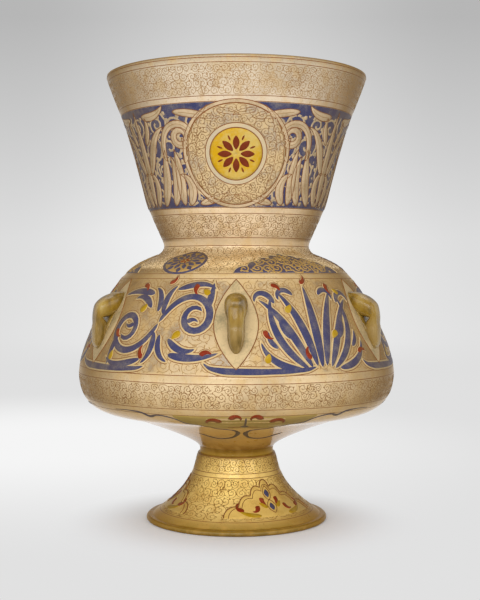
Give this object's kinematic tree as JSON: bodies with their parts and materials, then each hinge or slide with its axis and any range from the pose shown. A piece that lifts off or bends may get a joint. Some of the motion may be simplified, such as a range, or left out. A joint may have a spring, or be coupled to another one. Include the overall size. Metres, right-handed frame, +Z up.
{
  "type": "mosque lamp",
  "caption": "Glass hanging lamp with a flared neck, a round bowl with loop handles, and a flared pedestal foot; an oil cup with a wick stands inside.",
  "frame": {"origin": "centre of the ring that the foot stands on", "axes": "+Z up along the lamp's axis; -Y is the front, where one handle is square on; +X is the right-hand side seen from the front"},
  "size_m": [0.255, 0.255, 0.359],
  "materials": {
    "enamelled_glass": "blown honey glass, gilded and painted with enamels",
    "gilded_glass": "blown honey glass with fine gilded scrolls",
    "amber_glass": "drawn olive amber glass, glossy",
    "clear_glass": "thin blown glass, nearly clear",
    "brass": "cut sheet brass, dulled by soot and oil",
    "cotton": "twisted cotton, singed at the top"
  },
  "bodies": {
    "lamp": {"lamp_body": "enamelled_glass", "joint_wad": "gilded_glass", "foot": "gilded_glass", "handle_front": "amber_glass", "handle_front_right": "amber_glass", "handle_back_right": "amber_glass", "handle_back": "amber_glass", "handle_back_left": "amber_glass", "handle_front_left": "amber_glass"},
    "cup": {"oil_cup": "clear_glass"},
    "holder": {"wick_holder": "brass", "wick_tube": "brass"},
    "wick": {"wick": "cotton"}
  },
  "joints": [
    {"name": "cup_lift", "type": "slide", "parent": "lamp", "child": "cup", "axis": [0, 0, 1], "range_m": [0, 0.31]},
    {"name": "wick_holder_lift", "type": "slide", "parent": "cup", "child": "holder", "axis": [0, 0, 1], "range_m": [0, 0.06]},
    {"name": "wick_feed", "type": "slide", "parent": "holder", "child": "wick", "axis": [0, 0, 1], "range_m": [0, 0.01]}
  ]
}
